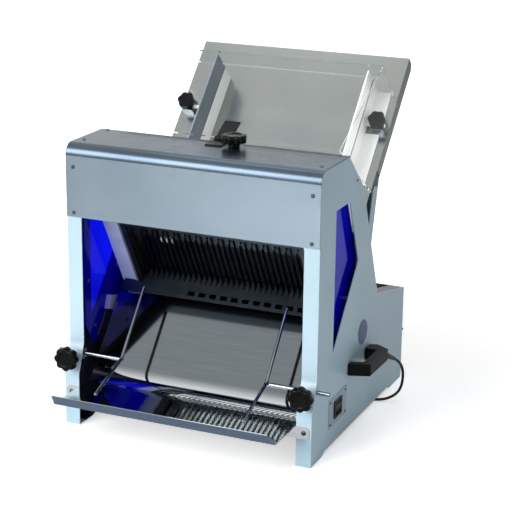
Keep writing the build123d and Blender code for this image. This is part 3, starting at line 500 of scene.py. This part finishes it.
for name, look in gripLooks.items():
    settle(gripMesh(name, look, gripShape), name, "black_plastic", look["body"], look["node"])
print("grips turned:", len(gripLooks))


# node trees for what repeats: blades and screw heads
def newTree(name, sizes):
    tree = bpy.data.node_groups.new(name, "GeometryNodeTree")
    tree.interface.new_socket("Geometry", in_out="INPUT", socket_type="NodeSocketGeometry")
    tree.interface.new_socket("Geometry", in_out="OUTPUT", socket_type="NodeSocketGeometry")
    for label, kind in sizes:
        tree.interface.new_socket(label, in_out="INPUT", socket_type=kind)
    return tree, addNode(tree, "NodeGroupInput").outputs


def closeTree(tree, asked, shape):
    real = addNode(tree, "GeometryNodeRealizeInstances", None, {"Geometry": shape})
    painted = addNode(tree, "GeometryNodeSetMaterial", None, {"Geometry": real, "Material": asked["Finish"]})
    addNode(tree, "NodeGroupOutput", None, {0: painted})
    return tree


def bake(tree, name, values, points=()):  # the tree's result as a plain mesh
    seed = bpy.data.meshes.new(name + "Points")
    seed.from_pydata([place for place, way in points], [], [])
    if points:
        facing = seed.attributes.new("facing", "FLOAT_VECTOR", "POINT")
        for entry, (place, way) in zip(facing.data, points):
            entry.vector = way
    holder = bpy.data.objects.new(name + "Points", seed)
    bpy.context.scene.collection.objects.link(holder)
    maker = holder.modifiers.new(name, "NODES")
    maker.node_group = tree
    for item in tree.interface.items_tree:
        if item.item_type == "SOCKET" and item.in_out == "INPUT" and item.name in values:
            maker[item.identifier] = values[item.name]
    bpy.context.view_layer.update()
    mesh = bpy.data.meshes.new_from_object(holder.evaluated_get(bpy.context.evaluated_depsgraph_get()))
    mesh.name = name
    bpy.data.objects.remove(holder)
    return mesh


bladeLook = {"length": 236.0, "width": 12.0, "thick": 0.8, "toothPitch": 9.0, "toothDeep": 2.4,
             "samples": 158, "spacing": 24.0, "top": -178.0,
             "sets": [("frontBlades", "front_blades", "front_frame", -180.0, 16),
                      ("rearBlades", "rear_blades", "rear_frame", -168.0, 15)]}  # first X in mm, and how many


def bladeTree(look):  # one scalloped strip, repeated along X
    tree, asked = newTree("scallopedBlades", [
        ("Blade Count", "NodeSocketInt"), ("Blade Spacing", "NodeSocketFloat"),
        ("First Blade", "NodeSocketVector"), ("Blade Length", "NodeSocketFloat"),
        ("Blade Width", "NodeSocketFloat"), ("Blade Thickness", "NodeSocketFloat"),
        ("Tooth Pitch", "NodeSocketFloat"), ("Tooth Depth", "NodeSocketFloat"),
        ("Stand", "NodeSocketRotation"), ("Finish", "NodeSocketMaterial")])
    strip = addNode(tree, "GeometryNodeMeshGrid", None, {
        "Size X": asked["Blade Length"], "Size Y": asked["Blade Width"],
        "Vertices X": look["samples"], "Vertices Y": 2})
    here = addNode(tree, "GeometryNodeInputPosition")
    where = addNode(tree, "ShaderNodeSeparateXYZ", None, {0: here}).outputs
    tooth = addNode(tree, "ShaderNodeMath", {"operation": "DIVIDE"}, {0: where["X"], 1: asked["Tooth Pitch"]})
    phase = addNode(tree, "ShaderNodeMath", {"operation": "MULTIPLY"}, {0: tooth, 1: math.pi})
    wave = addNode(tree, "ShaderNodeMath", {"operation": "SINE"}, {0: phase})
    scallop = addNode(tree, "ShaderNodeMath", {"operation": "ABSOLUTE"}, {0: wave})
    deep = addNode(tree, "ShaderNodeMath", {"operation": "MULTIPLY"}, {0: scallop, 1: asked["Tooth Depth"]})
    back = addNode(tree, "ShaderNodeMath", {"operation": "MULTIPLY"}, {0: deep, 1: -1.0})
    cuttingEdge = addNode(tree, "FunctionNodeCompare", {"data_type": "FLOAT", "operation": "GREATER_THAN"},
                          {0: where["Y"], 1: 0.0})
    shift = addNode(tree, "ShaderNodeCombineXYZ", None, {"Y": back})
    toothed = addNode(tree, "GeometryNodeSetPosition", None, {
        "Geometry": strip, "Selection": cuttingEdge, "Offset": shift})
    thicker = addNode(tree, "GeometryNodeExtrudeMesh", {"mode": "FACES"}, {
        "Mesh": toothed, "Offset Scale": asked["Blade Thickness"], "Individual": False})
    under = addNode(tree, "GeometryNodeFlipFaces", None, {"Mesh": toothed})
    both = addNode(tree, "GeometryNodeJoinGeometry", None, {0: thicker})
    tree.links.new(under.outputs[0], both.inputs[0])
    sealed = addNode(tree, "GeometryNodeMergeByDistance", None, {"Geometry": both, "Distance": 0.02 * mm})
    step = addNode(tree, "ShaderNodeCombineXYZ", None, {"X": asked["Blade Spacing"]})
    row = addNode(tree, "GeometryNodeMeshLine", {"mode": "OFFSET"}, {
        "Count": asked["Blade Count"], "Start Location": asked["First Blade"], "Offset": step})
    blades = addNode(tree, "GeometryNodeInstanceOnPoints", None, {
        "Points": row, "Instance": sealed, "Rotation": asked["Stand"]})
    return closeTree(tree, asked, blades)


bladeRow = bladeTree(bladeLook)
bladeStand = Matrix((bladeDown, bladeUp, Vector((1, 0, 0)))).transposed().to_euler()
for name, node, body, firstX, count in bladeLook["sets"]:
    middle = bladeSpot(firstX - bladeLook["thick"] / 2, bladeLook["top"] + bladeLook["length"] / 2, 0)
    mesh = bake(bladeRow, name, {
        "Blade Count": count, "Blade Spacing": bladeLook["spacing"] * mm, "First Blade": list(middle),
        "Blade Length": bladeLook["length"] * mm, "Blade Width": bladeLook["width"] * mm,
        "Blade Thickness": bladeLook["thick"] * mm, "Tooth Pitch": bladeLook["toothPitch"] * mm,
        "Tooth Depth": bladeLook["toothDeep"] * mm, "Stand": list(bladeStand),
        "Finish": finishes["blade_steel"]})
    settle(mesh, name, "blade_steel", body, node)
    print(name, "blades:", count, "faces:", len(mesh.polygons))

# each set: its node, its body, and for every size the radius, the height and (place, way out) of each head
screwLook = {"nominalRadius": 4, "recessWide": 0.9, "recessLong": 1.15, "recessDeep": 0.62, "sharpFrom": 35,
             "spacerOut": 8, "spacerRadius": 5, "spacerLong": 10, "spacerSides": 28, "sets": {
    "coverScrews": ("cover_screws", "frame", [
        (4.0, 2.2, [((side * 249, 20.5, z), (0, -1, 0)) for side in (1, -1) for z in (436, 527)]
         + [((side * 248, y, 572), (0, 0, 1)) for side in (1, -1) for y in (65, 160)]),
        (5.0, 2.5, [((side * 250, -2, 70), (0, -1, 0)) for side in (1, -1)]),
        (2.6, 1.6, [((266.5, y, z), (1, 0, 0)) for y in (95, 177) for z in (52, 98)]),
        (3.2, 1.8, [((265, 214, 514), (1, 0, 0))])]),
    "windowScrews": ("window_screws", "frame", [
        (4.0, 2.5, [((side * 250, y, z), (-side, 0, 0)) for side in (1, -1)
                    for y, z in ((73, 390), (75, 280), (193, 280), (239, 182), (100, 178), (214, 158))])])}}


def screwTree():  # domed head with a cross recess on every point, turned to face outwards
    tree, asked = newTree("domedScrews", [
        ("Head Radius", "NodeSocketFloat"), ("Head Height", "NodeSocketFloat"),
        ("Recess Wide", "NodeSocketFloat"), ("Recess Long", "NodeSocketFloat"),
        ("Recess Deep", "NodeSocketFloat"), ("Finish", "NodeSocketMaterial")])
    ball = addNode(tree, "GeometryNodeMeshUVSphere", None, {"Segments": 28, "Rings": 14, "Radius": 1.0})
    swell = addNode(tree, "ShaderNodeCombineXYZ", None, {
        "X": asked["Head Radius"], "Y": asked["Head Radius"], "Z": asked["Head Height"]})
    head = addNode(tree, "GeometryNodeTransform", None, {"Geometry": ball, "Scale": swell})
    broad = addNode(tree, "ShaderNodeMath", {"operation": "MULTIPLY"}, {0: asked["Head Radius"], 1: 4.0})
    sunk = addNode(tree, "ShaderNodeMath", {"operation": "MULTIPLY"}, {0: asked["Head Radius"], 1: -2.0})
    long, wide, deep = asked["Recess Long"], asked["Recess Wide"], asked["Recess Deep"]
    # two crossed bars cut the recess, and a block four radii high cuts off all that is below the sheet
    for sizes, middle in (((long, wide, deep), asked["Head Height"]),
                          ((wide, long, deep), asked["Head Height"]), ((broad, broad, broad), sunk)):
        size = addNode(tree, "ShaderNodeCombineXYZ", None, dict(enumerate(sizes)))
        height = addNode(tree, "ShaderNodeCombineXYZ", None, {"Z": middle})
        bar = addNode(tree, "GeometryNodeMeshCube", None, {"Size": size})
        tool = addNode(tree, "GeometryNodeTransform", None, {"Geometry": bar, "Translation": height})
        head = addNode(tree, "GeometryNodeMeshBoolean", {"operation": "DIFFERENCE", "solver": "EXACT"},
                       {"Mesh 1": head, "Mesh 2": tool})
    facing = addNode(tree, "GeometryNodeInputNamedAttribute", {"data_type": "FLOAT_VECTOR"},
                     {"Name": "facing"})
    aim = addNode(tree, "FunctionNodeAlignRotationToVector", {"axis": "Z"}, {"Vector": facing})
    heads = addNode(tree, "GeometryNodeInstanceOnPoints", None, {
        "Points": asked["Geometry"], "Instance": head, "Rotation": aim})
    return closeTree(tree, asked, heads)


domedScrews = screwTree()
for name, (node, body, sizes) in screwLook["sets"].items():
    build = bmesh.new()
    for radius, height, places in sizes:
        part = bake(domedScrews, name, {
            "Head Radius": radius * mm, "Head Height": height * mm,
            "Recess Wide": screwLook["recessWide"] * radius / screwLook["nominalRadius"] * mm,
            "Recess Long": screwLook["recessLong"] * radius * mm,
            "Recess Deep": screwLook["recessDeep"] * height * 2 * mm,
            "Finish": finishes["screw_shade_steel"]}, [(spot(*place), way) for place, way in places])
        build.from_mesh(part)
        bpy.data.meshes.remove(part)
        if name == "windowScrews":  # the spacers that hold the panes off the panels
            for place, way in places:
                middle = spot(place[0] - way[0] * screwLook["spacerOut"], place[1], place[2])
                lay = Matrix.Translation(middle) @ Matrix.Rotation(math.pi / 2, 4, "Y")
                bmesh.ops.create_cone(build, cap_ends=True, segments=screwLook["spacerSides"],
                                      radius1=screwLook["spacerRadius"] * mm,
                                      radius2=screwLook["spacerRadius"] * mm,
                                      depth=screwLook["spacerLong"] * mm, matrix=lay)
    mesh = bpy.data.meshes.new(name)
    build.to_mesh(mesh)
    build.free()
    settle(smoothed(mesh, screwLook["sharpFrom"]), name, "screw_shade_steel", body, node)
    print(name, "faces:", len(mesh.polygons))

# the mains lead: out of its relief, down to the floor, under the panel edge and away behind the machine
lead = {"thick": 6.0, "length": 1.70, "lieHeight": 3.1,
        "route": [(306.4, 345.6, 112.7), (309, 388, 92), (311, 411, 55), (308, 400, 18), (282, 377, 3.3),
                  (240, 369, 3.1), (205, 392, 3.1), (186, 432, 3.1), (190, 486, 3.1), (178, 540, 3.1),
                  (140, 584, 3.1)],
        "coilMiddle": (120.0, 632.8), "coilRadius": 33.0, "coilStart": -119.1, "coilTurns": 5.25,
        "coilLift": 7.0, "pointsPerTurn": 16, "tail": [(45, -7.0), (85, -23.0), (112, -26.5)]}


def leadPoints(look):
    points = [spot(*place) for place in look["route"]]
    midX, midY = look["coilMiddle"]
    # the smoothed curve cuts corners, so its points stand a little further out than the coil
    radius = look["coilRadius"] / math.cos(math.pi / look["pointsPerTurn"]) ** 0.5
    for i in range(int(look["coilTurns"] * look["pointsPerTurn"]) + 1):
        turned = i / look["pointsPerTurn"]
        angle = math.radians(look["coilStart"]) - 2 * math.pi * turned
        points.append(spot(midX + radius * math.cos(angle), midY + radius * math.sin(angle),
                           look["lieHeight"] + look["coilLift"] * turned))
    leave = Vector((math.sin(angle), -math.cos(angle), 0))
    endOfCoil = points[-1]
    for reach, drop in look["tail"]:
        points.append(endOfCoil + (leave * reach + Vector((0, 0, drop))) * mm)
    return points


def makeLead(name, look):
    curve = bpy.data.curves.new(name, "CURVE")
    curve.dimensions = "3D"
    curve.bevel_depth = look["thick"] / 2 * mm
    curve.bevel_resolution = 4
    curve.resolution_u = 6
    curve.use_fill_caps = True
    points = leadPoints(look)
    spline = curve.splines.new("NURBS")
    spline.points.add(len(points) - 1)
    for control, place in zip(spline.points, points):
        control.co = (*place, 1.0)
    spline.order_u = 3
    spline.use_endpoint_u = True
    piece = bpy.data.objects.new(name, curve)
    bpy.context.scene.collection.objects.link(piece)
    curve.materials.append(finishes["cord_rubber"])
    return piece


mainsLead = makeLead("mainsLead", lead)
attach(mainsLead, "frame")
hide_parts("power_cord", "cord_coil")
print("mains lead laid")

# stage: pale floor, plain white surround, soft lamps
studio = {"floorSize": 24.0, "floorDark": "#F0F0F0", "floorLight": "#F8F8F8", "floorCloudMm": 900,
          "floorRough": 0.7, "surround": 0.17, "floorGlow": 0.5, "shadeTo": 0.5, "whiteFrom": 1.6,
          "lamps": [("softKey", (-1.6, -3.2, 2.0), (0, 0, 0.32), 2.2, 108),  # place, aim, size in m, watts
                    ("lowFill", (2.6, -1.6, 1.1), (0, 0, 0.32), 1.8, 5),
                    ("topSoft", (0.3, 1.7, 2.9), (0, 0, 0.32), 1.8, 30),
                    ("chuteEdge", (-0.7, 0.35, 2.4), (0, 0.3, 0.66), 0.6, 1.6),
                    ("floorPool", (-0.2, -1.8, 0.6), (-0.2, -1.8, 0.0), 0.5, 15)]}


def floorPaper(tree, place, look):  # matt studio paper: pale and shaded near the machine, plain white far off
    path = addNode(tree, "ShaderNodeLightPath").outputs
    reach = addNode(tree, "ShaderNodeVectorMath", {"operation": "LENGTH"}, {0: place})
    glow = addNode(tree, "ShaderNodeMapRange", {"interpolation_type": "SMOOTHSTEP"},
                   {"Value": reach, "From Min": look["shadeTo"], "From Max": look["whiteFrom"],
                    "To Min": look["floorGlow"], "To Max": 1.0})
    sight = addNode(tree, "ShaderNodeMath", {"operation": "MAXIMUM"},
                    {0: path["Is Camera Ray"], 1: path["Is Transmission Ray"]})
    seen = addNode(tree, "ShaderNodeMath", {"operation": "MULTIPLY"}, {0: sight, 1: glow})
    return {"Base Color": clouds(tree, place, look["floorCloudMm"], 2, look["floorDark"], look["floorLight"]),
            "Roughness": look["floorRough"], "Emission Color": (1, 1, 1, 1), "Emission Strength": seen}


def makeFloor(look):
    half = look["floorSize"] / 2
    mesh = bpy.data.meshes.new("floor")
    corners = [(-half, -half, 0), (half, -half, 0), (half, half, 0), (-half, half, 0)]
    mesh.from_pydata(corners, [], [(0, 1, 2, 3)])
    mesh.materials.append(makeFinish(floorPaper, "PaleStudioFloor", look))
    floor = bpy.data.objects.new("floor", mesh)
    bpy.context.scene.collection.objects.link(floor)


def makeSurround(look):
    world = bpy.data.worlds.new("whiteSurround")
    world.use_nodes = True
    tree = world.node_tree
    tree.nodes.clear()
    path = addNode(tree, "ShaderNodeLightPath").outputs
    sight = addNode(tree, "ShaderNodeMath", {"operation": "MAXIMUM"},
                    {0: path["Is Camera Ray"], 1: path["Is Glossy Ray"]})
    through = addNode(tree, "ShaderNodeMath", {"operation": "MAXIMUM"},
                      {0: sight, 1: path["Is Transmission Ray"]})
    level = addNode(tree, "ShaderNodeMapRange", None,
                    {"Value": through, "To Min": look["surround"], "To Max": 1.0})
    back = addNode(tree, "ShaderNodeBackground", None, {"Color": (1, 1, 1, 1), "Strength": level})
    addNode(tree, "ShaderNodeOutputWorld", None, {"Surface": back})
    bpy.context.scene.world = world


def makeLamps(look):
    for name, place, aim, size, power in look["lamps"]:
        lamp = bpy.data.lights.new(name, "AREA")
        lamp.size = size
        lamp.energy = power
        holder = bpy.data.objects.new(name, lamp)
        holder.location = place
        holder.visible_camera = False
        holder.rotation_euler = (Vector(aim) - Vector(place)).to_track_quat("-Z", "Y").to_euler()
        bpy.context.scene.collection.objects.link(holder)


cameraLook = {"place": (1272.97, -2611.36, 1277.05), "azimuth": 23.323, "elevation": 17.040, "roll": -0.719,
              "lens": 113.135, "sensor": 36, "nearest": 0.05}


def makeCamera(look):
    side, tip, lean = (math.radians(look[key]) for key in ("azimuth", "elevation", "roll"))
    ahead = Vector((-math.sin(side) * math.cos(tip), math.cos(side) * math.cos(tip), -math.sin(tip)))
    right = Vector((math.cos(side), math.sin(side), 0))
    down = ahead.cross(right)
    leanRight = right * math.cos(lean) + down * math.sin(lean)
    leanDown = down * math.cos(lean) - right * math.sin(lean)
    camera = bpy.data.cameras.new("photoCamera")
    camera.lens = look["lens"]
    camera.sensor_width = look["sensor"]
    camera.clip_start = look["nearest"]
    holder = bpy.data.objects.new("photoCamera", camera)
    turn = Matrix((leanRight, -leanDown, -ahead)).transposed().to_4x4()
    holder.matrix_world = Matrix.Translation(spot(*look["place"])) @ turn
    bpy.context.scene.collection.objects.link(holder)
    bpy.context.scene.camera = holder


makeFloor(studio)
makeSurround(studio)
makeLamps(studio)
makeCamera(cameraLook)
bpy.context.scene.view_settings.view_transform = "Standard"
print("stage set")
